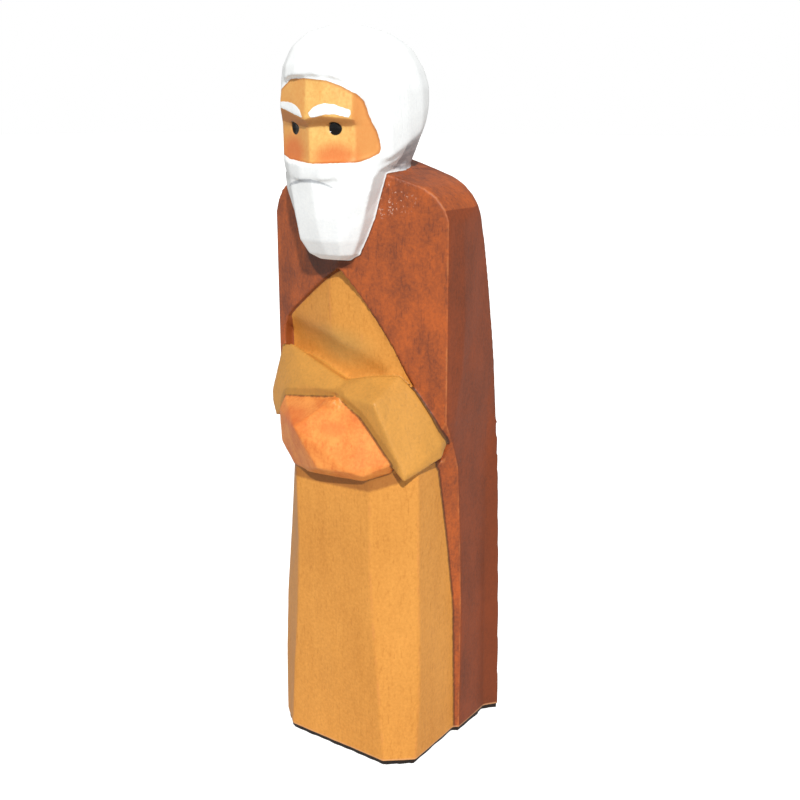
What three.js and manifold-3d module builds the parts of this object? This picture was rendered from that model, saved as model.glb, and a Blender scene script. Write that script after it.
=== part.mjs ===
// Shepherd figurine: an old bearded shepherd carved from one block of wood, in millimetres.
// The figure stands on z = 0 and faces -Y, so its left arm is on +X. The origin is at the
// middle of the underside. Forms are cut as flat facets, the way a knife leaves them.
import * as THREE from 'three';
import { ConvexGeometry } from 'three/addons/geometries/ConvexGeometry.js';
import { mergeVertices } from 'three/addons/utils/BufferGeometryUtils.js';
import Module from 'manifold-3d';

const wasm = await Module();
wasm.setup();

// Driving dimensions of the block
const figureHeight = 150;
const figureWidth = 43.8;
const figureDepth = 35;

// Driving dimensions of the carving
const cloakThickness = 1;
const armWidth = 43;
const robeWidth = 36;
const robeFrontWidth = 20;
const hemFrontWidth = 25.4;
const headWidth = 25;
const headDepth = 31.8;
const hairOverhang = 1.5;
const browOverhang = 1.4;
const eyeSpacing = 9.3;
const eyeDiameter = 2.4;
const eyeDepth = 0.4;
const mouthWidth = 12.5;
const mouthDepth = 0.6;

// The carving is laid out on a block 150 high, 43.8 wide and 35 deep, and follows the block's sizes
const tall = figureHeight / 150;
const wide = figureWidth / 43.8;
const deep = figureDepth / 35;

const at = (x, y, z) => new THREE.Vector3(x * wide, y * deep, z * tall);

function toSolid(geometry) {
  geometry.deleteAttribute('normal');
  geometry.deleteAttribute('uv');
  const merged = mergeVertices(geometry, 1e-5);
  return new wasm.Manifold(new wasm.Mesh({
    numProp: 3,
    vertProperties: new Float32Array(merged.attributes.position.array),
    triVerts: new Uint32Array(merged.index.array),
  }));
}

function toGeometry(solid) {
  const mesh = solid.getMesh();
  const geometry = new THREE.BufferGeometry();
  geometry.setAttribute('position', new THREE.BufferAttribute(new Float32Array(mesh.vertProperties), 3));
  geometry.setIndex(new THREE.BufferAttribute(new Uint32Array(mesh.triVerts), 1));
  geometry.computeVertexNormals();
  return geometry;
}

// A block with flat facets around a set of corners
const hull = (corners) => toSolid(new ConvexGeometry(corners));

// The corners of a facet block given on the figure's left, with their mirror images
const bothSides = (corners) => corners.concat(corners.map(([x, y, z]) => [-x, y, z]));

const hullOf = (corners) => hull(corners.map((corner) => at(...corner)));

// Skin over rings of points, each ring level for level, closed by a fan at both ends
function loft(rings) {
  const count = rings[0].length;
  const positions = rings.flat().flatMap((p) => [p.x, p.y, p.z]);
  const faces = [];
  for (let level = 0; level < rings.length - 1; level++) {
    for (let i = 0; i < count; i++) {
      const a = level * count + i;
      const b = level * count + ((i + 1) % count);
      faces.push(a, b, b + count, a, b + count, a + count);
    }
  }
  const centre = (ring) => ring.reduce((sum, p) => sum.add(p), new THREE.Vector3()).divideScalar(count);
  const low = positions.length / 3;
  positions.push(...centre(rings[0]).toArray(), ...centre(rings.at(-1)).toArray());
  const top = (rings.length - 1) * count;
  for (let i = 0; i < count; i++) {
    const next = (i + 1) % count;
    faces.push(low, next, i);
    faces.push(low + 1, top + i, top + next);
  }
  const geometry = new THREE.BufferGeometry();
  geometry.setAttribute('position', new THREE.Float32BufferAttribute(positions, 3));
  geometry.setIndex(faces);
  return toSolid(geometry);
}

// A level ring from its left half, listed from the middle of the front to the middle of the back,
// and from its right half where that is carved differently
function ring(z, leftHalf, rightHalf = leftHalf) {
  const left = leftHalf.map(([x, y]) => at(x, y, z));
  const right = rightHalf.slice(1, -1).reverse().map(([x, y]) => at(-x, y, z));
  return left.concat(right);
}

// An outline in the front view, drawn in x and z, cut straight through from y = front to y = back
function frontCut(outline, front, back) {
  const shape = new THREE.Shape(outline.map(([x, z]) => new THREE.Vector2(x * wide, z * tall)));
  const geometry = new THREE.ExtrudeGeometry(shape, { depth: (back - front) * deep, bevelEnabled: false });
  geometry.rotateX(Math.PI / 2);
  geometry.translate(0, back * deep, 0);
  return toSolid(geometry);
}

// The cloak's front is two planes that meet in a soft ridge over the breastbone
const frontRidgeY = -14.5;
const frontSlope = 0.31;
const cloakFrontY = (x) => frontRidgeY + frontSlope * Math.abs(x);
const step = cloakThickness / deep;

// Robe: three long flats in front, narrowest at the knees, and the breast under the cloak.
// The right flat is cut steeper towards the arms than the left one
function makeRobe() {
  const side = robeWidth / 2 / wide;
  const flat = robeFrontWidth / 2 / wide;
  const hemFlat = hemFrontWidth / 2 / wide;
  const front = -17.5;
  const behind = 6;
  const half = (flatX, cornerY) => [[0, front], [flatX, front], [side, cornerY], [side, behind], [0, behind]];
  const level = (z, flatX, leftY, rightY) => ring(z, half(flatX, leftY), half(flatX, rightY));
  const breastFlat = 4;
  const breastSide = armWidth / 2 / wide - 1.7;
  const breastY = (x) => cloakFrontY(x) + step;
  const breast = (z) => ring(z, [
    [0, breastY(breastFlat)], [breastFlat, breastY(breastFlat)],
    [breastSide, breastY(breastSide)], [breastSide, behind], [0, behind],
  ]);
  return loft([
    level(0, hemFlat, -13.1, -13),
    level(15, flat + 0.6 * (hemFlat - flat), -11.8, -12.7),
    level(30, flat + 0.1 * (hemFlat - flat), -11.9, -11.8),
    level(46, flat - 0.6, -12.3, -9.7),
    level(63, flat - 0.4, -12.5, -7.8),
    level(70.6, flat, -12.3, -7.8),
    breast(74),
    breast(106),
  ]);
}

// Cloak: a straight-sided mantle with an arched shoulder line, drawn back below the elbows
function makeCloak() {
  const arm = armWidth / 2 / wide;
  const under = robeWidth / 2 / wide - 0.6;
  const corner = figureWidth / 2 / wide - 0.6;
  const back = (x, y, middle, chamfer) => [[x, y], [x - chamfer, middle - 0.17 * chamfer], [0, middle]];
  const open = (z, edgeY, ridge, side, hollow, backX, backY, backMid) => ring(z, [
    [0, 0], [under, edgeY], ridge, side, hollow, ...back(backX, backY, backMid, 3 + z / 19),
  ]);
  const shut = (z, side, hollow, backX, backY, backMid) => ring(z, [
    [0, cloakFrontY(0)], [12, cloakFrontY(12)], [arm, cloakFrontY(arm)],
    side, hollow, ...back(backX, backY, backMid, 7),
  ]);
  const mantle = loft([
    open(0, 1.7, [19.1, 2.7], [19.1, 8], [19, 13.6], corner, 16.6, 17.5),
    open(30, 0.5, [19.4, 2.2], [19.4, 7], [19.2, 12.5], corner, 15.5, 17.2),
    open(43, -1.8, [19.6, 1.4], [19.6, 6], [19.4, 11.8], corner, 14.8, 16.9),
    open(55, -4.3, [19.9, 0], [19.9, 5], [19.7, 11.2], corner, 14.2, 16.6),
    open(64, -6.2, [20.3, -1.2], [20.3, 3], [20, 10.6], corner - 0.1, 13.5, 16.2),
    open(70, -8, [21, -4.6], [21, -2.6], [20.4, 9.8], corner - 0.2, 13, 15.9),
    shut(75.2, [arm + 0.2, -5], [20.8, 9], corner - 0.3, 12.5, 15.6),
    shut(84, [arm + 0.4, -3], [21, 8.2], corner - 0.5, 11.6, 15.1),
    shut(96, [arm + 0.4, -2], [21, 6], corner - 0.6, 9.7, 14),
    shut(108, [arm + 0.3, -2.5], [21.2, 3.4], corner - 0.5, 7, 12.2),
    shut(114.5, [arm + 0.2, -3], [21.2, 2], corner - 0.4, 5.4, 11),
    shut(118.5, [arm, -3.4], [20.8, 0.4], corner - 1, 4.2, 9.8),
    shut(127, [arm - 1, -4], [19.6, -1], corner - 3.3, 2.6, 7.8),
  ]);

  const shoulders = new THREE.Path();
  shoulders.moveTo(22.6, 109);
  shoulders.bezierCurveTo(21.9, 117, 19.6, 120.4, 13.2, 122);
  shoulders.quadraticCurveTo(6, 124.2, 0, 126);
  const leftLine = shoulders.getPoints(5).map((p) => [p.x, p.y]);
  const rightLine = leftLine.slice(0, -1).reverse().map(([x, z]) => [-x, z]);
  const arch = frontCut([[-24, -2], [24, -2], [24, 100], ...leftLine, ...rightLine, [-24, 100]], -30, 30);

  // The opening runs from the apex under the beard down to each elbow
  const opening = frontCut([
    [0, 104.9], [-4.4, 102.4], [-8.1, 100.1], [-12.3, 97.2], [-16, 94.6], [-18, 92.8], [-19.2, 90.4],
    [-19.6, 88.4], [-19.4, 84], [-19, 66], [20.4, 66], [20.4, 73.5], [19.7, 75], [17.3, 78.4],
    [15.2, 81.6], [13.4, 84.6], [11.1, 89.2], [7, 95.8], [3.4, 100.7],
  ], -30, -5);
  return mantle.intersect(arch).subtract(opening);
}

// Sleeve of the left arm: hangs from the elbow as a wedge with a wide flat outer face, and its
// arched rim overhangs the hands
function makeLeftSleeve() {
  return hullOf([
    [1, -14.2, 82.5], [7.6, -13.4, 84], [12.4, -11, 84.3], [15.3, -10.7, 81.8], [18.9, -9.7, 76.5],
    [21, -8.7, 71.1], [20.9, -8.5, 68.1], [17.6, -17, 64.8], [18, -16.9, 65.8], [13.4, -17.4, 76.4],
    [11.7, -18.9, 80.1],
    [0.5, -17.2, 80.7], [3.2, -17.8, 79.8], [7.3, -18.3, 78.7], [9.6, -18.4, 77.7], [11.1, -18.2, 76.1],
    [13.9, -17.4, 70.1], [16.4, -16.4, 65.2],
    [2, -8, 81], [-2, -8, 80], [12, -6, 80], [14, -4, 66], [20, -4, 72],
  ]);
}

// Sleeve of the right arm: lies across the body with its upper side turned to the front
function makeRightSleeve() {
  return hullOf([
    [-20.3, -8.4, 86], [-17.2, -9.2, 87], [-11.8, -11.5, 84.9], [-2.3, -13.9, 83.4], [2, -14.4, 82.4],
    [-19.1, -12, 78.4], [-13.2, -14.4, 80], [-8.3, -15.7, 80.8], [-3.6, -16.6, 80.8], [0.8, -17.2, 80.7],
    [-21.4, -11, 76.4], [-20.5, -12, 74.4], [-18.7, -13, 71.6], [-16.2, -14.5, 73.7], [-14.3, -15, 77.3],
    [-6.4, -16.2, 78.6], [0, -16.8, 78.8], [-19.6, -6, 70], [-19.8, -5, 82], [0, -8, 80],
  ]);
}

// Hands: clasped in front and cut with a few broad flats, with the tip of a thumb on top
function makeHands() {
  const hands = hullOf([
    [-4.8, -23.3, 73.8], [6.6, -18.1, 76.9], [9.4, -17.25, 76], [15.2, -17, 68.2],
    [9.9, -20.2, 65.3], [7.3, -21.6, 66.1], [0.6, -22.7, 66], [-1.1, -22, 65.4],
    [6.1, -20, 64.1], [8.9, -18.8, 63.7], [13.6, -15.6, 65.6], [-4.7, -19.2, 63.2], [-10.1, -17.6, 63.6],
    [-13.6, -17.2, 67.8], [-14.9, -16.2, 74.3], [-14, -15.4, 77], [1.4, -18.4, 79.2],
    [-3, -12, 80], [6, -12, 80], [13, -10, 70], [-14, -10, 76], [-12, -10, 66], [8, -10, 65],
  ]);
  const thumb = hullOf([
    [-0.3, -18.6, 79.4], [2.4, -18.6, 79.7], [3, -19, 78.2], [0.9, -19.6, 77.2], [-1, -19.2, 78.2],
    [1.8, -19.6, 79], [0, -15, 77], [2, -15, 79],
  ]);
  return hands.add(thumb);
}

// A hollow cut with a round gouge between the breast and the forearms
function makeGouge() {
  const radius = 9 * deep;
  const ball = new THREE.SphereGeometry(radius, 24, 16).attributes.position;
  const ballAt = (place) => {
    const corners = [];
    for (let i = 0; i < ball.count; i++) {
      corners.push(new THREE.Vector3().fromBufferAttribute(ball, i).add(place));
    }
    return corners;
  };
  const path = [at(-22, -14, 87.6), at(-5.4, -19.1, 85), at(1, -19.8, 83.8), at(8, -18.9, 81.6)];
  const strokes = path.slice(1).map((end, i) => hull([...ballAt(path[i]), ...ballAt(end)]));
  return strokes.reduce((all, stroke) => all.add(stroke));
}

// One ring of the head: a squarish oval that rises towards the back by its tilt
function headRing(z, width, depth, middle, tilt) {
  const sides = 22;
  const squareness = 0.86;
  const points = [];
  for (let i = 0; i < sides; i++) {
    const angle = (i / sides) * 2 * Math.PI;
    const cos = Math.cos(angle);
    const sin = Math.sin(angle);
    const x = width * Math.sign(cos) * Math.abs(cos) ** squareness;
    const y = depth * Math.sign(sin) * Math.abs(sin) ** squareness;
    points.push(at(x, middle + y, z + tilt * y));
  }
  return points;
}

// Hair: a dome that overhangs the neck behind, opened for the face
function makeHair() {
  const half = headWidth / 2 / wide;
  const reach = headDepth / 2 / deep;
  const middle = -7.9;
  const dome = loft([
    headRing(121.5, 7.6, 7.8, -4.8, 0.3),
    headRing(125, 9.4, 9.8, -5.2, 0.35),
    headRing(128.6, half - 0.2, reach - 1.4, middle, 0.45),
    headRing(133.2, half, reach - 0.2, middle, 0.25),
    headRing(138.5, half - 0.2, reach, middle, 0.08),
    headRing(142.5, half - 1.2, reach - 0.6, middle - 0.2, 0),
    headRing(146, half - 3, reach - 2.6, middle - 0.7, 0),
    headRing(148.6, half - 6, reach - 6.2, middle - 1.2, 0),
    headRing(150, half - 9.8, reach - 11, middle - 1.4, 0),
  ]);
  const lip = hairOverhang / deep;
  const faceOpening = hullOf(bothSides([
    [4, -32, 140.7], [4, -19.2 - lip, 140.7], [9, -32, 139.3], [9, -18.6 - lip, 139.3], [4, -19.2, 137.4],
    [14, -32, 134.8], [14, -17.4, 134.8], [14, -15.3, 129.4], [14, -15.1, 126.8], [14, -32, 123],
  ]));
  return dome.subtract(faceOpening);
}

// Face: two cheek planes that meet in the middle, turned cheeks beside them, and a heavy brow whose
// underside slopes back to the eyes and rises at the right temple
function makeFace() {
  const overhang = browOverhang / deep;
  const cheekY = -22.4;
  const browY = cheekY - overhang;
  const cheeks = hullOf([
    [0, cheekY, 124.6], [0, cheekY, 136], [8.5, -19.5, 124.6], [8.5, -19.5, 136],
    [-8.8, -19.4, 124.6], [-8.8, -19.4, 136], ...bothSides([[11, -15, 124], [9.4, -18, 138], [11, -8, 126]]),
  ]);
  const middle = [[0.3, browY, 132.9], [0.3, cheekY, 131.8], [0, -22.8, 141], [0, -8, 132], [0, -8, 141]];
  const leftBrow = hullOf([
    ...middle, [1, browY + 0.1, 133.3], [3.6, browY + 0.5, 133.6], [8.6, browY + 3.2, 133.1],
    [8.5, -19.5, 131.9], [9.2, -18.5, 133.2], [9.4, -17.8, 132], [3.6, -22.6, 141],
    [8.4, -20, 138.6], [7.4, -20, 141], [8.8, -18.2, 140], [9, -8, 134], [8.6, -8, 141],
  ]);
  const rightBrow = hullOf([
    ...middle, [-0.8, browY + 0.3, 133.6], [-3, browY + 1, 134.2], [-7.9, browY + 2.6, 135.3],
    [-8.8, -19.4, 132], [-9.2, -18.5, 135.2], [-9.4, -17.8, 132.4],
    [-7.6, -20.8, 141], [-8.8, -18.2, 140], [-9, -8, 134], [-8.6, -8, 141],
  ]);
  return cheeks.add(leftBrow).add(rightBrow);
}

// Beard: full and square-cut, rounded off below, with side flats that fall back to the cloak.
// Its lower end swings a little to the figure's right
function makeBeard() {
  const half = (midY, frontX, frontY, sideX, sideY, backX, backY) => [
    [0, midY], [frontX, frontY], [sideX, sideY], [backX, backY], [backX - 1, -4], [0, -4],
  ];
  const level = (z, swing, midY, frontX, frontY, sideX, sideY, backX, backY) => ring(
    z,
    half(midY, frontX, frontY, sideX, sideY, backX, backY),
    half(midY, frontX + swing, frontY, sideX + swing, sideY, backX + swing, backY),
  );
  return loft([
    level(106.7, 1.2, -16.2, 1.6, -16.1, 2.6, -15.2, 2.8, -12),
    level(107.8, 1.6, -17.8, 3.2, -17.3, 4.6, -15.4, 4.4, -12),
    level(110.6, 1.8, -19.5, 4, -18.8, 6.2, -15.8, 5.6, -12),
    level(115, 1, -20.8, 4.8, -19.9, 8, -16.3, 7.4, -11.8),
    level(120, 0.4, -21.8, 5.6, -20.6, 9.9, -17, 8.7, -11.6),
    level(123, 0, -22.4, 6, -20.9, 10.8, -16.9, 9.6, -11.6),
    level(124.6, 0, -22.2, 6, -20.6, 10.3, -16.2, 10.2, -11.6),
    level(126, 0, -20, 6, -18.6, 9.6, -15.2, 10.2, -11.4),
  ]);
}

// Mouth: a drooping groove, cut by short knife strokes that follow the moustache
function makeMouth() {
  const strokes = 6;
  const span = mouthWidth / wide;
  const cut = mouthDepth / deep;
  const surface = (x) => -22.15 + 0.02 * x * x + 0.1 * Math.abs(x);
  const height = (x) => 122.2 - 0.055 * x * x;
  const across = (x) => [
    at(x, surface(x) + cut, height(x)),
    at(x, surface(x) - 2, height(x) + 0.9),
    at(x, surface(x) - 2, height(x) - 0.9),
  ];
  const start = -0.58 * span;
  const pieces = [];
  for (let i = 0; i < strokes; i++) {
    const from = start + (i / strokes) * span;
    const to = start + ((i + 1) / strokes) * span;
    pieces.push(hull([...across(from), ...across(to)]));
  }
  return pieces.reduce((all, piece) => all.add(piece));
}

// Eyes: two shallow round dimples, square to the cheek planes
function makeEyes() {
  const turn = Math.atan2(2.9 * deep, 8.6 * wide);
  const eye = (side) => {
    const x = (side * eyeSpacing) / 2 / wide;
    const y = -22.4 + 0.337 * Math.abs(x);
    const tool = new THREE.CylinderGeometry(eyeDiameter / 2, eyeDiameter / 2, 2 * eyeDepth, 16);
    tool.rotateZ(side * turn);
    const place = at(x, y, 131.5);
    tool.translate(place.x, place.y, place.z);
    return toSolid(tool);
  };
  return eye(-1).add(eye(1));
}

const carving = makeRobe()
  .subtract(makeGouge())
  .add(makeCloak())
  .add(makeLeftSleeve())
  .add(makeRightSleeve())
  .add(makeHands())
  .add(makeHair())
  .add(makeFace())
  .add(makeBeard())
  .subtract(makeMouth())
  .subtract(makeEyes());

const wood = new THREE.MeshStandardMaterial({ color: 0xb5673a, roughness: 0.55, metalness: 0 });
const figure = new THREE.Mesh(toGeometry(carving), wood);
figure.name = 'shepherd_figure';

const shepherd = new THREE.Group();
shepherd.add(figure);

export default shepherd;
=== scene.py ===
import math

import bmesh
import bpy
import numpy as np
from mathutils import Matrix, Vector, noise
from mathutils.bvhtree import BVHTree
from mathutils.kdtree import KDTree


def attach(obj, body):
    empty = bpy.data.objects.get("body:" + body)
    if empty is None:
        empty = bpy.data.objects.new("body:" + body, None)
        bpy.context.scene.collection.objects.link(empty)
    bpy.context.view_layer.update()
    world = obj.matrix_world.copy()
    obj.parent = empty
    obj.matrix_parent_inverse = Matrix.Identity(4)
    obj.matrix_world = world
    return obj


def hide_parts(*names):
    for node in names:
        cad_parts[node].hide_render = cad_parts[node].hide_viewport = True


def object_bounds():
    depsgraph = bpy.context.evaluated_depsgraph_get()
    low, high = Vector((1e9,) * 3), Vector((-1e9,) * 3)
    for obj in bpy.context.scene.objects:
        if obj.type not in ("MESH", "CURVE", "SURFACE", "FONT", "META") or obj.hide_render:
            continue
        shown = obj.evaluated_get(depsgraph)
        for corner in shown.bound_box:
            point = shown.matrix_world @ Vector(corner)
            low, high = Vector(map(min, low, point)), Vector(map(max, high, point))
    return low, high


# Shepherd figurine, carved from one block, stained and painted. Lengths in this script are in
# millimetres unless they go straight onto an object, which is in metres like the frame.

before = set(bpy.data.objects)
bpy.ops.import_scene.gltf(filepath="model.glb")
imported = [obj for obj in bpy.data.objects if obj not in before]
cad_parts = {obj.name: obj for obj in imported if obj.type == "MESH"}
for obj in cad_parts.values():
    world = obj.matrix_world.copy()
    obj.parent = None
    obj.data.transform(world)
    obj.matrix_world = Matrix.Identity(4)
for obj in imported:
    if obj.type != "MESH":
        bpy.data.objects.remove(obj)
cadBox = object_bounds()
mm = 0.001
print("frame loaded")


# Camera, light and floor, with headings, heights and tilts in degrees

view = {
    "place": (0.1261, -0.1729, 0.1330),
    "heading": 35.06,
    "tilt": 15.18,
    "lens": 46.53,
    "sensor": 36,
    "nearest": 0.01,
    "farthest": 20,
}

studio = {
    "keyHeading": 40,
    "keyHeight": 37,
    "keyStrength": 3.3,
    "keySoftness": 2,
    "roomLight": 0.43,
    "roomTint": (1, 0.985, 0.96, 1),
    "floorHalfSize": 8,
    "floorTint": (0.62, 0.62, 0.6138, 1),
    "floorRoughness": 0.8,
    "floorSpecular": 0.1,
    "floorGlow": 0.75,
}
plainWhite = (1, 1, 1, 1)


def makeCamera():
    heading = math.radians(view["heading"])
    tilt = math.radians(view["tilt"])
    level = math.cos(tilt)
    look = Vector((-math.sin(heading) * level, math.cos(heading) * level, -math.sin(tilt)))
    data = bpy.data.cameras.new("photoView")
    data.sensor_width = view["sensor"]
    data.lens = view["lens"]
    data.clip_start = view["nearest"]
    data.clip_end = view["farthest"]
    camera = bpy.data.objects.new("photoView", data)
    camera.location = view["place"]
    camera.rotation_euler = look.to_track_quat("-Z", "Y").to_euler()
    bpy.context.scene.collection.objects.link(camera)
    bpy.context.scene.camera = camera


def makeLight():
    data = bpy.data.lights.new("keyLight", "SUN")
    data.energy = studio["keyStrength"]
    data.angle = math.radians(studio["keySoftness"])
    light = bpy.data.objects.new("keyLight", data)
    heading = math.radians(studio["keyHeading"])
    height = math.radians(studio["keyHeight"])
    level = math.cos(height)
    source = Vector((math.sin(heading) * level, -math.cos(heading) * level, math.sin(height)))
    light.rotation_euler = source.to_track_quat("Z", "Y").to_euler()
    bpy.context.scene.collection.objects.link(light)


def makeRoom():
    # The camera sees a plain white room, and a dimmer and warmer one lights the figure
    world = bpy.data.worlds.new("studio")
    bpy.context.scene.world = world
    world.use_nodes = True
    tree = world.node_tree
    tree.nodes.clear()
    seen = add(tree, "ShaderNodeBackground", {"Color": plainWhite, "Strength": 1.0})
    lit = add(tree, "ShaderNodeBackground", {"Color": studio["roomTint"], "Strength": studio["roomLight"]})
    rays = add(tree, "ShaderNodeLightPath")
    mix = add(tree, "ShaderNodeMixShader", {
        0: rays.outputs["Is Camera Ray"], 1: lit.outputs[0], 2: seen.outputs[0],
    })
    add(tree, "ShaderNodeOutputWorld", {"Surface": mix.outputs[0]})


def makeFloor():
    mesh = bpy.data.meshes.new("floor")
    size = studio["floorHalfSize"]
    corners = [(-size, -size, 0), (size, -size, 0), (size, size, 0), (-size, size, 0)]
    mesh.from_pydata(corners, [], [(0, 1, 2, 3)])
    floor = bpy.data.objects.new("floor", mesh)
    bpy.context.scene.collection.objects.link(floor)
    material = bpy.data.materials.new("paleFloor")
    material.use_nodes = True
    tree = material.node_tree
    shader = tree.nodes["Principled BSDF"]
    shader.inputs["Base Color"].default_value = studio["floorTint"]
    shader.inputs["Roughness"].default_value = studio["floorRoughness"]
    shader.inputs["Specular IOR Level"].default_value = studio["floorSpecular"]
    rays = add(tree, "ShaderNodeLightPath")
    glow = calc(tree, "MULTIPLY", rays.outputs["Is Camera Ray"], studio["floorGlow"])
    shader.inputs["Emission Color"].default_value = plainWhite
    tree.links.new(glow, shader.inputs["Emission Strength"])
    mesh.materials.append(material)


# Small helpers for shader trees

def add(tree, kind, inputs=None, **settings):
    made = tree.nodes.new(kind)
    for name, value in settings.items():
        setattr(made, name, value)
    for name, value in (inputs or {}).items():
        if isinstance(value, bpy.types.NodeSocket):
            tree.links.new(value, made.inputs[name])
        else:
            made.inputs[name].default_value = value
    return made


def calc(tree, operation, first, second, clamp=False):
    node = add(tree, "ShaderNodeMath", {0: first, 1: second}, operation=operation, use_clamp=clamp)
    return node.outputs[0]


def vector(tree, operation, first, second):
    return add(tree, "ShaderNodeVectorMath", {0: first, 1: second}, operation=operation).outputs[0]


def blend(tree, share, first, second):
    return add(tree, "ShaderNodeMix", {0: share, 6: first, 7: second}, data_type="RGBA").outputs[2]


def ramp(tree, value, low, high, start=0.0, end=1.0):
    node = add(
        tree, "ShaderNodeMapRange",
        {"Value": value, "From Min": low, "From Max": high, "To Min": start, "To Max": end},
        interpolation_type="SMOOTHSTEP",
    )
    return node.outputs["Result"]


def noiseAt(tree, place, scale, detail=2.0, roughness=0.5):
    node = add(tree, "ShaderNodeTexNoise", {
        "Vector": place, "Scale": scale, "Detail": detail, "Roughness": roughness,
    })
    return node.outputs["Fac"]


def stored(tree, name):
    return add(tree, "ShaderNodeAttribute", attribute_name=name).outputs["Fac"]


def tint(code):
    # A colour code, as a screen shows it, in the linear values that shaders use
    def linear(part):
        value = int(part, 16) / 255
        return value / 12.92 if value <= 0.04045 else ((value + 0.055) / 1.055) ** 2.4
    return (linear(code[1:3]), linear(code[3:5]), linear(code[5:7]), 1.0)


def newGroup(name, inputs, outputs):
    tree = bpy.data.node_groups.new(name, "ShaderNodeTree")
    for label, kind, value in inputs:
        socket = tree.interface.new_socket(label, in_out="INPUT", socket_type=kind)
        if value is not None:
            socket.default_value = value
    for label, kind in outputs:
        tree.interface.new_socket(label, in_out="OUTPUT", socket_type=kind)
    return tree, add(tree, "NodeGroupInput").outputs, add(tree, "NodeGroupOutput").inputs


def use(tree, group, inputs):
    return add(tree, "ShaderNodeGroup", inputs, node_tree=group).outputs


scene = bpy.context.scene
scene.view_settings.view_transform = "Standard"
scene.view_settings.look = "None"
makeCamera()
makeLight()
makeRoom()
makeFloor()
print("camera, light and floor made")


# The carving: a fine copy of the block's solid, with its edges eased and its knife marks cut

carving = {
    "mergeGap": 0.002,
    "voxel": 0.34,
    "quickCoarseness": 1.6,
    "smoothing": 0.5,
    "easing": 3,
    "softening": 25,
    "melting": 130,
    "triangles": 190000,
    "scoopDepth": 0.10,
    "scoopWidth": 6.0,
    "scoopLength": 17.0,
    "scoopLevel": 0.75,
    "scoopShift": 11.3,
    "rippleDepth": 0.05,
    "rippleAcross": 0.22,
    "rippleAlong": 0.09,
    "rippleShift": 3.1,
    "cloakMiddle": -14.5,
    "cloakSlope": 0.31,
    "footHeight": 1.15,
    "footBlend": 0.25,
    "footSetback": 0.22,
    "footHalfWidth": 18,
    "footHalfDepth": 17,
    "footMiddle": -0.5,
    "footRim": 0.55,
    "footRimBlend": 0.2,
    "footLongWave": 0.35,
    "footShortWave": 0.25,
}

# Corners of the blocks that the forearms and the hands are cut from, as they are in the solid
leftSleeve = [
    (1, -14.2, 82.5), (7.6, -13.4, 84), (12.4, -11, 84.3), (15.3, -10.7, 81.8), (18.9, -9.7, 76.5),
    (21, -8.7, 71.1), (20.9, -8.5, 68.1), (17.6, -17, 64.8), (18, -16.9, 65.8), (13.4, -17.4, 76.4),
    (11.7, -18.9, 80.1), (0.5, -17.2, 80.7), (3.2, -17.8, 79.8), (7.3, -18.3, 78.7), (9.6, -18.4, 77.7),
    (11.1, -18.2, 76.1), (13.9, -17.4, 70.1), (16.4, -16.4, 65.2),
    (2, -8, 81), (-2, -8, 80), (12, -6, 80), (14, -4, 66), (20, -4, 72),
]
rightSleeve = [
    (-20.3, -8.4, 86), (-17.2, -9.2, 87), (-11.8, -11.5, 84.9), (-2.3, -13.9, 83.4), (2, -14.4, 82.4),
    (-19.1, -12, 78.4), (-13.2, -14.4, 80), (-8.3, -15.7, 80.8), (-3.6, -16.6, 80.8), (0.8, -17.2, 80.7),
    (-21.4, -11, 76.4), (-20.5, -12, 74.4), (-18.7, -13, 71.6), (-16.2, -14.5, 73.7), (-14.3, -15, 77.3),
    (-6.4, -16.2, 78.6), (0, -16.8, 78.8), (-19.6, -6, 70), (-19.8, -5, 82), (0, -8, 80),
]
hands = [
    (-4.8, -23.3, 73.8), (6.6, -18.1, 76.9), (9.4, -17.25, 76), (15.2, -17, 68.2),
    (9.9, -20.2, 65.3), (7.3, -21.6, 66.1), (0.6, -22.7, 66), (-1.1, -22, 65.4),
    (6.1, -20, 64.1), (8.9, -18.8, 63.7), (13.6, -15.6, 65.6), (-4.7, -19.2, 63.2), (-10.1, -17.6, 63.6),
    (-13.6, -17.2, 67.8), (-14.9, -16.2, 74.3), (-14, -15.4, 77), (1.4, -18.4, 79.2),
    (-3, -12, 80), (6, -12, 80), (13, -10, 70), (-14, -10, 76), (-12, -10, 66), (8, -10, 65),
]
thumb = [
    (-0.3, -18.6, 79.4), (2.4, -18.6, 79.7), (3, -19, 78.2), (0.9, -19.6, 77.2), (-1, -19.2, 78.2),
    (1.8, -19.6, 79), (0, -15, 77), (2, -15, 79),
]


def mergedCopy(node):
    shape = bmesh.new()
    shape.from_mesh(node.data)
    bmesh.ops.scale(shape, vec=(1 / mm,) * 3, verts=shape.verts)
    bmesh.ops.remove_doubles(shape, verts=shape.verts, dist=carving["mergeGap"])
    bmesh.ops.triangulate(shape, faces=shape.faces)
    shape.normal_update()
    shape.faces.index_update()
    return shape


def hullTree(corners):
    shape = bmesh.new()
    for corner in corners:
        shape.verts.new(corner)
    bmesh.ops.convex_hull(shape, input=shape.verts)
    tree = BVHTree.FromBMesh(shape)
    shape.free()
    return tree


def nearestOn(points, start, end):
    # The place nearest to each point on a straight stretch
    along = end - start
    share = np.clip((points - start) @ along / (along @ along), 0, 1)
    return start + share[:, None] * along


def outlineDistance(points, outline):
    # Signed distance in the plane to a closed outline, positive inside
    x, y = points.T
    best = np.full(len(points), np.inf)
    inside = np.zeros(len(points), bool)
    corners = np.asarray(outline, float)
    for start, end in zip(corners, np.roll(corners, -1, axis=0)):
        gap = np.linalg.norm(points - nearestOn(points, start, end), axis=1)
        best = np.minimum(best, gap)
        if start[1] == end[1]:
            continue
        crosses = (start[1] > y) != (end[1] > y)
        where = start[0] + (y - start[1]) / (end[1] - start[1]) * (end[0] - start[0])
        inside ^= crosses & (x < where)
    return np.where(inside, best, -best)


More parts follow.
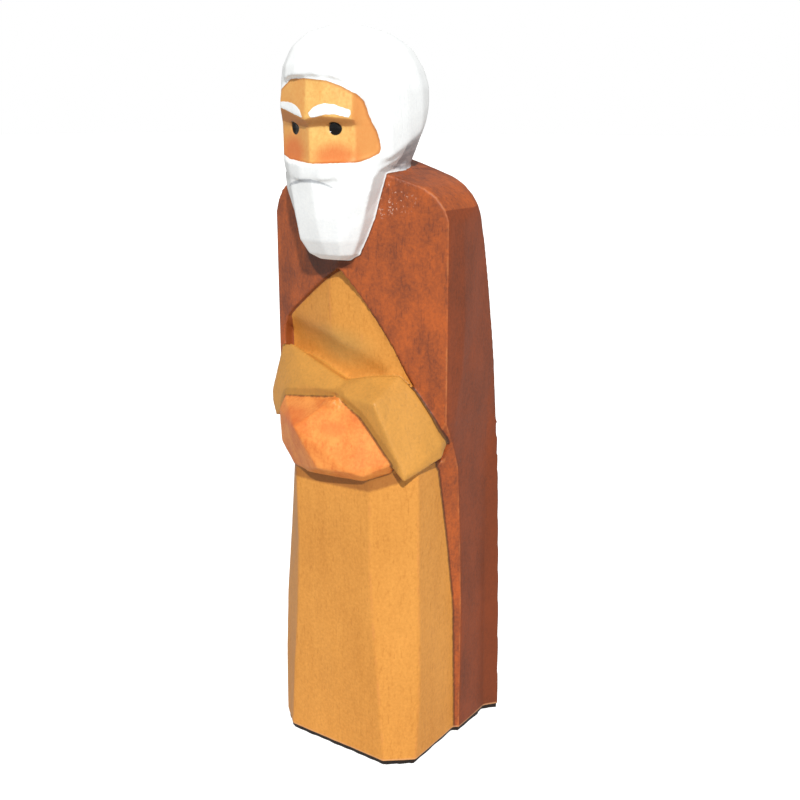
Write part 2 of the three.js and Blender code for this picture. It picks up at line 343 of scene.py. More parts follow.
def cloakFront(x):
    # The cloak's front falls back evenly on both sides of its middle
    return carving["cloakMiddle"] + carving["cloakSlope"] * abs(x)


# Where one finish ends and the next begins on the solid: gaps, heights, depths and half widths
borders = {
    "planeGap": 0.06,
    "blockGap": 0.03,
    "footTop": 0.05,
    "armsLow": 60,
    "openingLow": 66,
    "elbow": 73.9,
    "armsHigh": 90,
    "beardLow": 106,
    "napeLow": 119,
    "shoulderTop": 126.2,
    "shoulderFall": 0.3,
    "headLow": 127,
    "napeHigh": 136,
    "napeFront": -14,
    "beardBack": -11,
    "greyFront": -8,
    "edgeBack": -4.9,
    "armsBack": -3.5,
    "robeBack": 1.2,
    "upperSideFront": 4,
    "lowerSideFront": 8,
    "beardHalf": 11.9,
    "napeHalf": 12.7,
    "robeHalfBelow": 18.02,
    "robeHalfAbove": 19.82,
    "edgeHalf": 20.5,
}

# How a flat's normal leans where it faces down, hangs over, stands edge on or faces sideways
leaning = {
    "down": -0.9,
    "over": -0.2,
    "edgeOn": 0.02,
    "sideways": 0.93,
}


def finishOf(centre, normal, blocks):
    # Which finish a flat of the solid wears, from where it lies
    x, y, z = centre
    half = abs(x)
    onCloakFront = abs(y - cloakFront(x)) < borders["planeGap"]
    sideways = abs(normal.x) > leaning["sideways"]
    if z < borders["footTop"] and normal.z < leaning["down"]:
        return "foot"
    overShoulders = borders["shoulderTop"] - borders["shoulderFall"] * half < z < borders["headLow"]
    underHair = normal.z < leaning["over"] or overShoulders
    behindFace = y > borders["napeFront"] and half < borders["napeHalf"]
    if borders["napeLow"] < z < borders["napeHigh"] and behindFace and underHair:
        return "nape" if y > borders["greyFront"] else "hair"
    inBeard = z > borders["beardLow"] and y < borders["beardBack"] and half < borders["beardHalf"]
    if z > borders["headLow"] or (inBeard and not onCloakFront):
        return "hair"
    if borders["armsLow"] < z < borders["armsHigh"] and y < borders["armsBack"]:
        for name, trees in blocks.items():
            if min(tree.find_nearest(centre)[3] for tree in trees) < borders["blockGap"]:
                return name
    upper = z > borders["openingLow"]
    inOpening = upper and y < borders["edgeBack"] and half < borders["edgeHalf"]
    if abs(normal.y) < leaning["edgeOn"] and inOpening:
        return "cloakEdge"
    if (onCloakFront and upper) or z > borders["beardLow"]:
        return "cloakSide" if sideways or y > borders["upperSideFront"] else "cloak"
    robeHalf = borders["robeHalfBelow"] if z < borders["elbow"] else borders["robeHalfAbove"]
    if half > robeHalf or y > borders["robeBack"]:
        return "cloakSide" if sideways or y > borders["lowerSideFront"] else "cloak"
    return "robe"


def readFlats(shape):
    # The finish of every flat, and one search tree for the flats of each finish
    blocks = {
        "sleeve": [hullTree(leftSleeve), hullTree(rightSleeve)],
        "hand": [hullTree(hands), hullTree(thumb)],
    }
    corners = [v.co.copy() for v in shape.verts]
    flats = {}
    names = []
    for face in shape.faces:
        name = finishOf(face.calc_center_median(), face.normal, blocks)
        names.append(name)
        flats.setdefault(name, []).append([v.index for v in face.verts])
    print("flats", {name: len(found) for name, found in flats.items()})
    return names, {name: BVHTree.FromPolygons(corners, found) for name, found in flats.items()}


# Which edges of the solid are rubbed bare, and which seams hold dirt and painted shade
edges = {
    "step": 0.3,
    "rubbedAngle": 14,
    "rubbedLow": 2,
    "shoulderGap": 0.4,
    "soiledAngle": 20,
    "creaseLow": 79,
}


def edgeTree(shape, names, wanted):
    # Points along the solid's sharp edges, where wanted(outward, angle, name, otherName, place) says so
    points = []
    for edge in shape.edges:
        if len(edge.link_faces) != 2:
            continue
        one, other = edge.link_faces
        angle = math.degrees(one.normal.angle(other.normal, 0))
        outward = (other.calc_center_median() - edge.verts[0].co).dot(one.normal) < 0
        start, end = (v.co for v in edge.verts)
        if not wanted(outward, angle, names[one.index], names[other.index], (start + end) / 2):
            continue
        steps = max(1, int((end - start).length / edges["step"]))
        points.extend(start.lerp(end, i / steps) for i in range(steps + 1))
    tree = KDTree(len(points))
    for i, point in enumerate(points):
        tree.insert(point, i)
    tree.balance()
    return tree


def rubbedEdge(outward, angle, name, otherName, place):
    sameCoat = name == otherName == "robe" or {name, otherName} <= {"cloak", "cloakSide"}
    behind = abs(place.y - cloakFront(place.x)) > edges["shoulderGap"]
    onShoulder = place.z > borders["beardLow"] and behind
    sharp = outward and angle > edges["rubbedAngle"]
    return sharp and place.z > edges["rubbedLow"] and sameCoat and not onShoulder


# Seams where two finishes meet in a concave crease, darkened with dirt and painted shade
def dirtyShadedSeam(outward, angle, name, otherName, place):
    pair = {name, otherName}
    inCloak = pair <= {"cloak", "cloakSide", "cloakEdge"}
    sameColour = name == otherName or inCloak or pair <= {"hair", "nape"}
    crease = pair == {"robe", "sleeve"} and place.z > edges["creaseLow"]
    return not outward and angle > edges["soiledAngle"] and not sameColour and not crease


def readPoints(mesh):
    points = np.zeros(len(mesh.vertices) * 3)
    mesh.vertices.foreach_get("co", points)
    return points.reshape(-1, 3)


def writePoints(mesh, points):
    mesh.vertices.foreach_set("co", np.ascontiguousarray(points, dtype=np.float32).ravel())
    mesh.update()


def finished(thing):
    # The object's mesh with its modifiers applied
    graph = bpy.context.evaluated_depsgraph_get()
    mesh = bpy.data.meshes.new_from_object(thing.evaluated_get(graph))
    thing.modifiers.clear()
    old = thing.data
    thing.data = mesh
    bpy.data.meshes.remove(old)
    return mesh


def knifeMarks(points):
    # Shallow scoops, longer than wide, as a carving knife leaves them, and a faint ripple
    width = carving["scoopWidth"]
    length = carving["scoopLength"]
    across = carving["rippleAcross"]
    along = carving["rippleAlong"]
    heights = np.zeros(len(points))
    for i, (x, y, z) in enumerate(points):
        cell = Vector((x / width, y / width + carving["scoopShift"], z / length))
        near = noise.voronoi(cell)[0][0]
        ripple = noise.noise(Vector((x * across, y * across + carving["rippleShift"], z * along)))
        scoop = carving["scoopDepth"] * (near - carving["scoopLevel"])
        heights[i] = scoop + carving["rippleDepth"] * ripple
    return heights


def grow(values, start, width):
    # 0 up to start, then rising to 1 over the width
    return np.clip((values - start) / width, 0, 1)


def cutFoot(points):
    # The block is cut back a little under its lower edge, unevenly, so that it stands on its middle
    x, y, z = points.T
    longWave = carving["footLongWave"] * np.sin(0.8 * x + 1.7) * np.cos(0.6 * y)
    shortWave = carving["footShortWave"] * np.sin(1.9 * x - 1.1 * y)
    uneven = 1 + longWave + shortWave
    share = grow(-z, -carving["footHeight"], carving["footBlend"])
    deepness = abs(y - carving["footMiddle"]) / carving["footHalfDepth"]
    outwards = np.maximum(abs(x) / carving["footHalfWidth"], deepness)
    rim = grow(outwards, carving["footRim"], carving["footRimBlend"])
    away = np.maximum(np.hypot(x, y), 1e-6)
    points[:, :2] *= (1 - carving["footSetback"] * uneven * share * rim / away)[:, None]
    return points


# Where the form is smoothed further than its edges: heights, depths and half widths
softAreas = {
    "fade": 2,
    "shortFade": 1.5,
    "domeFront": -14,
    "domeLow": 131,
    "crownLow": 143,
    "joinHeight": 128,
    "joinSlope": 0.35,
    "joinPivot": -7.9,
    "joinReach": 1.8,
    "joinFade": 0.8,
    "joinBack": -13.5,
    "joinLow": 122.4,
    "joinHigh": 126.2,
    "hollowHalf": 19.2,
    "hollowBack": -3,
    "hollowInwards": 0.7,
    "hollowLow": 81,
    "hollowHigh": 97,
    "shouldersLow": 110,
    "shouldersInwards": 1,
    "leastWeight": 0.02,
}


def softPlaces(points):
    # The hair's dome, the join of hair and beard and the tops of the shoulders, and apart from
    # them the hollow over the forearms, which is smoothed more strongly
    x, y, z = points.T
    area = softAreas
    fade = area["fade"]
    dome = grow(y, area["domeFront"], fade) * grow(z, area["domeLow"], fade)
    crown = grow(z, area["crownLow"], area["shortFade"])
    ledge = area["joinHeight"] + area["joinSlope"] * (y - area["joinPivot"])
    join = grow(-abs(z - ledge), -area["joinReach"], area["joinFade"])
    join = join * (y < area["joinBack"]) * (z > area["joinLow"]) * (z < area["joinHigh"])
    hollow = (abs(x) < area["hollowHalf"]) * (y < area["hollowBack"])
    hollow = hollow * (y > cloakFront(x) + area["hollowInwards"])
    hollow = hollow * grow(z, area["hollowLow"], fade) * grow(-z, -area["hollowHigh"], fade)
    inwards = grow(y - cloakFront(x), area["shouldersInwards"], area["shortFade"])
    shoulders = grow(z, area["shouldersLow"], fade) * inwards
    return np.max([dome, crown, join, shoulders], axis=0), hollow


# Where the mesh stays fine, so that painted edges are crisp: the face, the seams and the foot
paintedArea = {
    "faceBack": -14.6,
    "faceLow": 118,
    "faceHigh": 142,
    "seamReach": 0.9,
    "footHigh": 1.8,
}


def paintedPlaces(points, seams):
    y, z = points.T[1:]
    face = (y < paintedArea["faceBack"]) & (z > paintedArea["faceLow"]) & (z < paintedArea["faceHigh"])
    seam = np.array([seams.find(p)[2] < paintedArea["seamReach"] for p in map(Vector, points)])
    return face | seam | (z < paintedArea["footHigh"])


def smoothed(figure, name, weights, passes):
    group = figure.vertex_groups.new(name=name)
    for i in np.nonzero(weights > softAreas["leastWeight"])[0]:
        group.add([int(i)], float(weights[i]), "REPLACE")
    melt = figure.modifiers.new(name, "SMOOTH")
    melt.factor = carving["smoothing"]
    melt.iterations = passes
    melt.vertex_group = name


def carveFigure(shape, seams):
    mesh = bpy.data.meshes.new("shepherd")
    shape.to_mesh(mesh)
    figure = bpy.data.objects.new("shepherd", mesh)
    bpy.context.scene.collection.objects.link(figure)
    rough = figure.modifiers.new("fineCopy", "REMESH")
    rough.mode = "VOXEL"
    rough.voxel_size = carving["voxel"] * 1
    ease = figure.modifiers.new("easedEdges", "SMOOTH")
    ease.factor = carving["smoothing"]
    ease.iterations = carving["easing"]
    soft, hollow = softPlaces(readPoints(finished(figure)))
    smoothed(figure, "soft", soft, carving["softening"])
    smoothed(figure, "hollow", hollow, carving["melting"])
    mesh = finished(figure)
    points = readPoints(mesh)
    normals = np.zeros(len(points) * 3)
    mesh.vertices.foreach_get("normal", normals)
    points += normals.reshape(-1, 3) * knifeMarks(points)[:, None]
    writePoints(mesh, cutFoot(points))
    kept = figure.vertex_groups.new(name="painted")
    painted = np.nonzero(paintedPlaces(readPoints(mesh), seams))[0]
    kept.add([int(i) for i in painted], 1.0, "REPLACE")
    mesh.calc_loop_triangles()
    thin = figure.modifiers.new("evenMesh", "DECIMATE")
    thin.ratio = min(1, carving["triangles"] / len(mesh.loop_triangles))
    thin.vertex_group = "painted"
    thin.invert_vertex_group = True
    mesh = finished(figure)
    figure.vertex_groups.clear()
    lowest, highest = np.array(cadBox) / mm
    writePoints(mesh, np.clip(readPoints(mesh), lowest, highest))
    print("carving has", len(mesh.polygons), "faces")
    return figure


solid = mergedCopy(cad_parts["shepherd_figure"])
flatNames, flatTrees = readFlats(solid)
seamTree = edgeTree(solid, flatNames, dirtyShadedSeam)
figure = carveFigure(solid, seamTree)


# Finishes: each vertex keeps how far it lies inside each finish, so that their edges stay crisp.
# The brows, the skin's outline, the painted shade under the brows and the grey line of painted shade in
# the mouth's groove are drawn on the front, in x and z.

strokes = {
    "left": [
        (-8.4, 136.2), (-6.1, 136.2), (-4.2, 136.0), (-2.6, 135.5), (-1.3, 134.7), (-0.5, 133.3),
        (-1.8, 133.6), (-4.8, 134.4), (-6.3, 134.8), (-8.4, 135.3),
    ],
    "right": [
        (1.0, 134.1), (2.0, 135.1), (3.2, 135.6), (4.4, 135.8), (5.7, 135.6), (8.3, 134.6), (8.4, 133.8),
        (8.1, 133.3), (5.8, 133.9), (4.4, 133.9), (3.0, 133.5), (1.3, 133.3),
    ],
}

skinOutline = [
    (0, 140.2), (4.4, 139.7), (6.8, 138.7), (8.6, 137.6), (9.6, 136.2), (10.0, 133.5), (10.8, 130.7),
    (11.1, 127.9), (10.9, 127.0), (10.1, 126.1), (8.8, 125.4), (5.7, 125.3), (0.9, 125.1), (-1.9, 125.4),
    (-6.4, 125.8), (-8.6, 126.5), (-10.1, 127.2), (-10.9, 129), (-10.7, 131), (-10, 133.5), (-9.6, 136.2),
    (-8.6, 137.8), (-6.8, 138.9), (-4.4, 140.2),
]

# Painted shade under the brows
browShade = [
    (-8.8, 135.4), (0.3, 132.9), (1, 133.3), (3.6, 133.6), (8.2, 133.1), (8.7, 132.9), (8.7, 132.1),
    (8, 131.8), (4.3, 131.8), (2.2, 131.8), (-0.1, 131.5), (-5, 132.2), (-8.8, 132.9),
]

# The mouth's groove, drawn as a tapering grey line of painted shade
mouthLine = [
    (-8.3, 120.5), (-5.2, 121.4), (-2.7, 121.9), (0, 122.0), (2.0, 121.7), (3.4, 121.2), (4.9, 120.5),
]
mouthTaper = 0.3

# How far the stored distances reach, and how wide the painted shade and shadows are that follow a
# neighbouring finish
reaches = {
    "stored": 3,
    "searched": 9,
    "cuffShade": 1.7,
    "elbowGapShade": 0.75,
    "elbowGapInside": 5,
    "shadowUnderBeard": 1.8,
    "underBeardMore": 2.7,
    "underBeardWidth": 4,
    "shadowUnderHands": 2.7,
}


def lineDistance(points, line):
    # Distance in the plane to an open line, growing towards its ends so that the stroke tapers
    corners = np.asarray(line, float)
    middle = (corners[0][0] + corners[-1][0]) / 2
    half = corners[-1][0] - middle
    best = np.full(len(points), np.inf)
    for start, end in zip(corners[:-1], corners[1:]):
        place = nearestOn(points, start, end)
        taper = mouthTaper * (abs(place[:, 0] - middle) / half) ** 2
        best = np.minimum(best, np.linalg.norm(points - place, axis=1) + taper)
    return best


def store(mesh, name, values):
    layer = mesh.attributes.new(name, "FLOAT", "POINT")
    kept = np.clip(values, -reaches["stored"], reaches["stored"])
    layer.data.foreach_set("value", kept.astype(np.float32))


def markFinishes(figure, shape, names, trees, seams):
    mesh = figure.data
    points = readPoints(mesh)
    places = [Vector(p) for p in points]
    away = {}
    for name, tree in trees.items():
        away[name] = np.array([min(tree.find_nearest(p)[3], reaches["searched"]) for p in places])

    def inside(*wanted):
        others = [away[n] for n in away if n not in wanted]
        return np.min(others, axis=0) - np.min([away[n] for n in wanted], axis=0)

    store(mesh, "sleeveCoat", inside("sleeve", "hand"))
    store(mesh, "handCoat", inside("hand"))
    store(mesh, "cloakCoat", inside("cloak", "cloakSide", "cloakEdge", "hair", "nape"))
    store(mesh, "shadedSideCoat", inside("cloakSide"))
    store(mesh, "edgeCoat", inside("cloakEdge"))
    store(mesh, "headCoat", inside("hair", "nape"))
    store(mesh, "napeShadeCoat", inside("nape"))
    store(mesh, "footShadowCoat", inside("foot"))

    # Painted shade beside the hands and in the slit at the left elbow, and painted shadows under the beard
    # and under the hands
    nowhere = -reaches["stored"]
    store(mesh, "cuffShadeCoat", reaches["cuffShade"] - away["hand"])
    elbowGapShade = reaches["elbowGapShade"] - away["sleeve"] - away["cloakEdge"]
    store(mesh, "gapShadeCoat", np.where(points[:, 0] > reaches["elbowGapInside"], elbowGapShade, nowhere))
    rightwards = np.clip(-points[:, 0] / reaches["underBeardWidth"], 0, 1)
    beardReach = reaches["shadowUnderBeard"] + reaches["underBeardMore"] * rightwards
    store(mesh, "shadowUnderBeard", beardReach - away["hair"])
    store(mesh, "shadowUnderHands", reaches["shadowUnderHands"] - away["hand"])

    # Painted outlines on the front of the head, with painted shade under the brows and in the mouth's
    # groove
    front = points[:, 1] < paintedArea["faceBack"]
    flatPoints = points[:, [0, 2]]
    store(mesh, "hairCoat", np.where(front, -outlineDistance(flatPoints, skinOutline), -nowhere))
    brows = [outlineDistance(flatPoints, stroke) for stroke in strokes.values()]
    store(mesh, "browCoat", np.where(front, np.maximum(*brows), nowhere))
    store(mesh, "shadeCoat", np.where(front, outlineDistance(flatPoints, browShade), nowhere))
    store(mesh, "mouthShade", np.where(front, lineDistance(flatPoints, mouthLine), -nowhere))

    ridges = edgeTree(shape, names, rubbedEdge)
    store(mesh, "ridge", np.array([ridges.find(p)[2] for p in places]))
    store(mesh, "seam", np.array([seams.find(p)[2] for p in places]))


markFinishes(figure, solid, flatNames, flatTrees, seamTree)
solid.free()
print("finishes marked")


# Wood, stain, paint and painted shade, with the colours as a screen shows them

wood = {
    "robeLight": "#DD9945",
    "robeDark": "#C28033",
    # Painted shade in the hollow over the forearms
    "hollowShade": "#A89A5C",
    "sleeveLight": "#D29442",
    "sleeveDark": "#B8833B",
    # Painted shade in the cuffs beside the hands
    "cuffShade": "#9A6A2C",
    "handLight": "#EB9749",
    "handRed": "#D8642A",
    "handDark": "#D3712F",
    "cloakLight": "#B25825",
    "cloakDark": "#7D3F24",
    # Darker copies of the cloak's stain for its sides: painted shade
    "shadedSideLight": "#8E411C",
    "shadedSideDark": "#6D3216",
    "edge": "#8E4B24",
    "skinLight": "#EBC070",
    "skinDark": "#DD9A50",
    # Painted shade on the face: under the brows, along the hairline, and on the turned temple and right
    # cheek
    "browShade": "#A8622F",
    "turnedShade": "#D98A48",
    "blush": "#D9632F",
    # Painted shadows under the beard and under the hands
    "beardShadow": "#2A100A",
    "shadowed": "#7A3F16",
    "dust": "#E0BBA6",
    "white": "#F8FAF9",
    "whiteDark": "#E9ECEE",
    # Painted grey shade under the hair and in the mouth's groove
    "greyShade": "#A9ADB2",
    "rubbed": "#CC8048",
    # Dirt and painted shade in the seams, and painted shade in the elbow slit
    "dirtAndShade": "#3E2012",
    "worn": "#E3A978",
    # Near-black painted shadow round the foot's recess and on the underside
    "foot": "#1E140E",
    "black": "#0C0908",
}


# Light tone, dark tone, size of the patches in millimetres, contrast, share of the grain
stains = {
    "robe": ("robeLight", "robeDark", 14.0, 0.5, 0.8),
    "sleeve": ("sleeveLight", "sleeveDark", 10.0, 0.6, 0.7),
    "hand": ("handLight", "handDark", 5.0, 1.2, 0.5),
    "cloak": ("cloakLight", "cloakDark", 5.0, 1.0, 0.7),
    # The cloak's sides wear a darker copy of its stain, painted shade
    "shadedSide": ("shadedSideLight", "shadedSideDark", 9.0, 0.8, 0.5),
    "skin": ("skinLight", "skinDark", 5.0, 0.6, 0.4),
    "white": ("white", "whiteDark", 5.0, 0.35, 0.1),
}

# Tone and strength of what is laid over the stains, painted shade and painted shadows among them
glazes = {
    "redHand": ("handRed", 0.45),
    "turnedShade": ("turnedShade", 0.75),
    "blush": ("blush", 0.66),
    "browShade": ("browShade", 0.68),
    "hairlineShade": ("browShade", 0.5),
    "rubbedRobe": ("rubbed", 0.25),
    "rubbedCloak": ("rubbed", 0.35),
    "hollowShade": ("hollowShade", 0.3),
    "dust": ("dust", 0.6),
    "shadedSideBack": ("shadedSideDark", 0.6),
    "cuffShade": ("cuffShade", 0.45),
    "shadowUnderHands": ("shadowed", 0.6),
    "seam": ("dirtAndShade", 0.7),
    "elbowGapShade": ("dirtAndShade", 0.8),
    "shadowUnderBeard": ("beardShadow", 0.7),
    "mouthShade": ("greyShade", 0.9),
    "worn": ("worn", 0.5),
}

# Centres and half sizes of soft spots, in millimetres
spots = {
    "redHand": [((-7, -20.5, 74.8), (7, 6, 3.2)), ((3, -20.5, 74), (4, 4, 2.2))],
    "blush": [((-5.6, -21.0, 127.0), (6.0, 5.0, 4.6)), ((5.2, -21.2, 126.2), (6.4, 5.0, 3.8))],
    # Painted shade in the hollow over the forearms
    "hollowShade": [((-4, -14, 88.5), (15, 8, 6))],
    "dust": [((9.5, -12, 118.5), (9, 5, 5))],
    "eyes": [((4.95, -20.8, 131.45), (1.32, 2.0, 1.28)), ((-4.4, -20.8, 131.55), (1.38, 2.0, 1.3))],
}

# Places in millimetres where a mask starts and where it is full
fades = {
    # Most of these place painted shade or shadow: the turned temple and right cheek, the hairline, the
    # back of the cloak's sides, below the hands, beside and below the beard, under the hair and round the
    # foot
    "leftTempleShade": (8.2, 8.8),
    "rightCheekShade": (0.3, -0.3),
    "hairlineShade": (-0.5, -0.1),
    "shadedSideBack": (9.5, 13),
    "belowHands": (66, 65),
    "besideBeard": (4.5, 1.5),
    "belowBeard": (120, 118),
    "nape": (133, 127),
    "worn": (1.6, 1.3),
    "foot": (1.15, 1.05),
}

surface = {
    "fleckLength": 0.25,
    "edgeLine": 0.5,
    "rightCheekShade": 0.55,
    "leastGrey": 0.55,
    "woodRoughness": 0.5,
    "paintRoughness": 0.15,
    "eyeGloss": 0.4,
    "specular": 0.35,
    "grainRelief": 0.05,
    "paintRelief": 0.08,
    "bump": 0.6,
}


def makeGrainGroup():
    # Short dark flecks and long faint streaks along the block's height
    tree, given, out = newGroup("woodGrain", [
        ("Place", "NodeSocketVector", None),
        ("Fleck Length", "NodeSocketFloat", surface["fleckLength"]),
    ], [("Tone", "NodeSocketFloat"), ("Height", "NodeSocketFloat")])
    shifted = vector(tree, "ADD", given["Place"], (3.0, 7.0, 0.0))
    squash = add(tree, "ShaderNodeCombineXYZ", {"X": 1.0, "Y": 1.0, "Z": given["Fleck Length"]}).outputs[0]
    fine = vector(tree, "MULTIPLY", shifted, squash)
    flecks = ramp(tree, noiseAt(tree, fine, scale=1.9, detail=2.0, roughness=0.6), low=0.55, high=0.70)
    long = vector(tree, "MULTIPLY", shifted, (0.5, 0.5, 0.02))
    streaks = noiseAt(tree, long, scale=1.0, detail=5.0, roughness=0.6)
    tone = calc(tree, "MULTIPLY", calc(tree, "SUBTRACT", streaks, 0.5), 0.7)
    tone = calc(tree, "SUBTRACT", tone, calc(tree, "MULTIPLY", flecks, 0.45))
    tree.links.new(tone, out["Tone"])
    raised = calc(tree, "MULTIPLY", streaks, 0.5)
    sunk = calc(tree, "MULTIPLY", flecks, 0.5)
    tree.links.new(calc(tree, "SUBTRACT", raised, sunk), out["Height"])
    return tree


def makeStainGroup():
    # Two tones in broad patches, broken up by a fine speckle and by the grain
    tree, given, out = newGroup("brushedStain", [
        ("Place", "NodeSocketVector", None),
        ("Light", "NodeSocketColor", None),
        ("Dark", "NodeSocketColor", None),
        ("Patch Size", "NodeSocketFloat", 8.0),
        ("Contrast", "NodeSocketFloat", 1.0),
        ("Grain", "NodeSocketFloat", 0.0),
        ("Speckle", "NodeSocketFloat", 1.2),
    ], [("Colour", "NodeSocketColor")])
    broad = vector(tree, "MULTIPLY", given["Place"], (1.0, 1.0, 0.6))
    scale = calc(tree, "DIVIDE", 1.0, given["Patch Size"])
    patches = noiseAt(tree, broad, scale, detail=5.0, roughness=0.62)
    share = calc(tree, "SUBTRACT", patches, 0.5)
    share = calc(tree, "MULTIPLY", share, calc(tree, "MULTIPLY", given["Contrast"], 2.4))
    fine = noiseAt(tree, given["Place"], scale=1.7, detail=2.0, roughness=0.6)
    speckle = calc(tree, "SUBTRACT", fine, 0.5)
    share = calc(tree, "ADD", share, calc(tree, "MULTIPLY", speckle, given["Speckle"]))
    share = calc(tree, "SUBTRACT", share, given["Grain"])
    share = calc(tree, "ADD", share, 0.45, clamp=True)
    tree.links.new(blend(tree, share, given["Light"], given["Dark"]), out["Colour"])
    return tree


def makeLineGroup():
    # A ragged line of a given width along an edge, a seam or a stroke
    tree, given, out = newGroup("lineAlongEdge", [
        ("Place", "NodeSocketVector", None),
        ("Distance", "NodeSocketFloat", 3.0),
        ("Width", "NodeSocketFloat", surface["edgeLine"]),
        ("Raggedness", "NodeSocketFloat", 0.4),
    ], [("Mask", "NodeSocketFloat")])
    rag = calc(tree, "SUBTRACT", noiseAt(tree, given["Place"], scale=0.9, detail=3.0, roughness=0.6), 0.5)
    ragged = calc(tree, "ADD", given["Distance"], calc(tree, "MULTIPLY", rag, given["Raggedness"]))
    mask = ramp(tree, calc(tree, "DIVIDE", ragged, given["Width"]), low=1.0, high=0.3)
    tree.links.new(mask, out["Mask"])
    return tree


def coat(tree, name, place, wobble=0.25, soft=0.05):
    # Where a stored coat lies, with the slightly wandering edge of a brush
    wander = calc(tree, "SUBTRACT", noiseAt(tree, place, scale=1.1, detail=2.0, roughness=0.5), 0.5)
    value = calc(tree, "ADD", stored(tree, name), calc(tree, "MULTIPLY", wander, wobble))
    return ramp(tree, value, -soft, soft)


def around(tree, place, centre, size, low=1.0, high=0.3):
    # A soft spot round a place on the surface
    away = vector(tree, "DIVIDE", vector(tree, "SUBTRACT", place, centre), size)
    reach = add(tree, "ShaderNodeVectorMath", {0: away}, operation="LENGTH").outputs["Value"]
    return ramp(tree, reach, low, high)


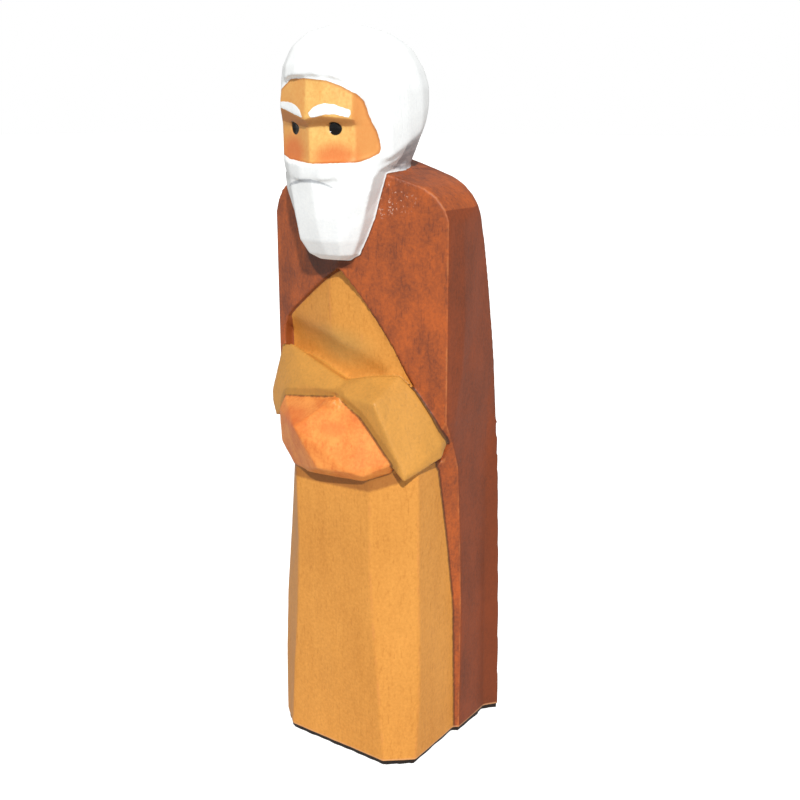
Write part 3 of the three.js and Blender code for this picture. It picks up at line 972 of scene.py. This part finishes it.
def makeFigureMaterial():
    grainGroup = makeGrainGroup()
    stainGroup = makeStainGroup()
    lineGroup = makeLineGroup()
    material = bpy.data.materials.new("carvedWood")
    material.use_nodes = True
    tree = material.node_tree
    shader = tree.nodes["Principled BSDF"]
    perMetre = (1000.0, 1000.0, 1000.0)
    place = vector(tree, "MULTIPLY", add(tree, "ShaderNodeTexCoord").outputs["Object"], perMetre)
    across = add(tree, "ShaderNodeSeparateXYZ", {0: place}).outputs
    grain = use(tree, grainGroup, {"Place": place, "Fleck Length": surface["fleckLength"]})

    def times(first, second):
        return calc(tree, "MULTIPLY", first, second)

    def stain(name):
        light, dark, patch, contrast, share = stains[name]
        return use(tree, stainGroup, {
            "Place": place, "Light": tint(wood[light]), "Dark": tint(wood[dark]),
            "Patch Size": patch, "Contrast": contrast, "Grain": times(grain["Tone"], share),
        })["Colour"]

    def line(name, raggedness):
        return use(tree, lineGroup, {
            "Place": place, "Distance": stored(tree, name),
            "Width": surface["edgeLine"], "Raggedness": raggedness,
        })["Mask"]

    def fade(value, name):
        return ramp(tree, value, *fades[name])

    def glaze(colour, mask, name):
        tone, strength = glazes[name]
        return blend(tree, times(mask, strength), colour, tint(wood[tone]))

    def spotted(colour, name):
        for centre, size in spots[name]:
            colour = glaze(colour, around(tree, place, centre, size), name)
        return colour

    # Hands and face, with painted shade on the turned left temple and right cheek, under the brows and
    # along the hairline
    hand = spotted(stain("hand"), "redHand")
    skin = stain("skin")
    rightCheekShade = ramp(tree, across["X"], *fades["rightCheekShade"], end=surface["rightCheekShade"])
    turnedFaceShade = calc(tree, "MAXIMUM", fade(across["X"], "leftTempleShade"), rightCheekShade)
    skin = spotted(glaze(skin, turnedFaceShade, "turnedShade"), "blush")
    skin = glaze(skin, coat(tree, "shadeCoat", place, wobble=0.3, soft=0.15), "browShade")
    skin = glaze(skin, fade(stored(tree, "hairCoat"), "hairlineShade"), "hairlineShade")

    # Robe and sleeves, with painted shade in the hollow over the forearms and in the cuffs beside the
    # hands, and a painted shadow under the hands
    patchy = ramp(tree, noiseAt(tree, place, scale=0.16, detail=3.0, roughness=0.6), low=0.42, high=0.62)
    rubbed = times(line("ridge", raggedness=0.6), patchy)
    robe = spotted(glaze(stain("robe"), rubbed, "rubbedRobe"), "hollowShade")
    below = coat(tree, "shadowUnderHands", place, wobble=0.4, soft=0.4)
    robe = glaze(robe, times(below, fade(across["Z"], "belowHands")), "shadowUnderHands")
    sleeve = glaze(stain("sleeve"), coat(tree, "cuffShadeCoat", place, wobble=0.5, soft=0.25), "cuffShade")

    # Cloak, with dust on its left shoulder, and painted shade on its sides that darkens towards the back
    cloak = glaze(stain("cloak"), rubbed, "rubbedCloak")
    specks = ramp(tree, noiseAt(tree, place, scale=1.9, detail=2.0, roughness=0.6), low=0.61, high=0.69)
    dusted, dustSize = spots["dust"][0]
    cloak = glaze(cloak, times(around(tree, place, dusted, dustSize), specks), "dust")
    shadedSide = glaze(stain("shadedSide"), fade(across["Y"], "shadedSideBack"), "shadedSideBack")
    cloak = blend(tree, coat(tree, "shadedSideCoat", place, wobble=0.15), cloak, shadedSide)
    cloak = blend(tree, coat(tree, "edgeCoat", place, wobble=0.1), cloak, tint(wood["edge"]))

    # All stained coats on the block, with dirt and painted shade in the seams, painted shade in the slit
    # at the left elbow and a painted shadow under the beard
    colour = blend(tree, coat(tree, "sleeveCoat", place), robe, sleeve)
    colour = blend(tree, coat(tree, "handCoat", place), colour, hand)
    colour = blend(tree, coat(tree, "cloakCoat", place), colour, cloak)
    colour = blend(tree, coat(tree, "headCoat", place), colour, skin)
    colour = glaze(colour, line("seam", raggedness=0.4), "seam")
    colour = glaze(colour, coat(tree, "gapShadeCoat", place, wobble=0.2, soft=0.15), "elbowGapShade")
    under = times(fade(across["X"], "besideBeard"), fade(across["Z"], "belowBeard"))
    beardShadow = times(under, coat(tree, "shadowUnderBeard", place, wobble=0.3, soft=0.35))
    colour = glaze(colour, beardShadow, "shadowUnderBeard")

    # White paint of hair, beard and brows, with painted grey shade in streaks under the hair and a grey
    # line of painted shade in the mouth's groove
    drawn = vector(tree, "MULTIPLY", place, (0.5, 0.15, 0.9))
    streaky = noiseAt(tree, drawn, scale=1.4, detail=3.0, roughness=0.6)
    streaky = ramp(tree, streaky, low=0.2, high=0.7, start=surface["leastGrey"])
    napeShade = times(coat(tree, "napeShadeCoat", place, wobble=0.5, soft=0.3), streaky)
    white = blend(tree, times(napeShade, fade(across["Z"], "nape")), stain("white"), tint(wood["greyShade"]))
    white = glaze(white, line("mouthShade", raggedness=0.25), "mouthShade")
    hair = calc(
        tree, "MINIMUM",
        coat(tree, "hairCoat", place, wobble=0.2),
        coat(tree, "headCoat", place, wobble=0.3),
    )
    paint = calc(tree, "MAXIMUM", hair, coat(tree, "browCoat", place, wobble=0.3))
    colour = blend(tree, paint, colour, white)

    # Eyes, the paler rim above the foot, and the foot and its underside, painted near-black as the shadow
    # where the figure meets the floor
    left, right = (around(tree, place, *eye, low=1.05, high=0.9) for eye in spots["eyes"])
    eyes = calc(tree, "MAXIMUM", left, right)
    colour = blend(tree, eyes, colour, tint(wood["black"]))
    colour = glaze(colour, fade(across["Z"], "worn"), "worn")
    underside = coat(tree, "footShadowCoat", place, wobble=0.1, soft=0.1)
    foot = calc(tree, "MAXIMUM", underside, fade(across["Z"], "foot"))
    colour = blend(tree, foot, colour, tint(wood["foot"]))
    tree.links.new(colour, shader.inputs["Base Color"])

    gloss = calc(tree, "ADD", times(paint, surface["paintRoughness"]), surface["woodRoughness"])
    gloss = calc(tree, "SUBTRACT", gloss, times(eyes, surface["eyeGloss"]))
    tree.links.new(gloss, shader.inputs["Roughness"])
    shader.inputs["Specular IOR Level"].default_value = surface["specular"]

    relief = times(grain["Height"], surface["grainRelief"])
    relief = calc(tree, "ADD", relief, times(paint, surface["paintRelief"]))
    bump = add(tree, "ShaderNodeBump", {"Strength": surface["bump"], "Distance": mm, "Height": relief})
    tree.links.new(bump.outputs[0], shader.inputs["Normal"])
    return material


def toMetres(figure):
    mesh = figure.data
    writePoints(mesh, readPoints(mesh) * mm)
    mesh.shade_smooth()


toMetres(figure)
figure.data.materials.clear()
figure.data.materials.append(makeFigureMaterial())
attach(figure, "root")
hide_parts("shepherd_figure")
print("figure finished")
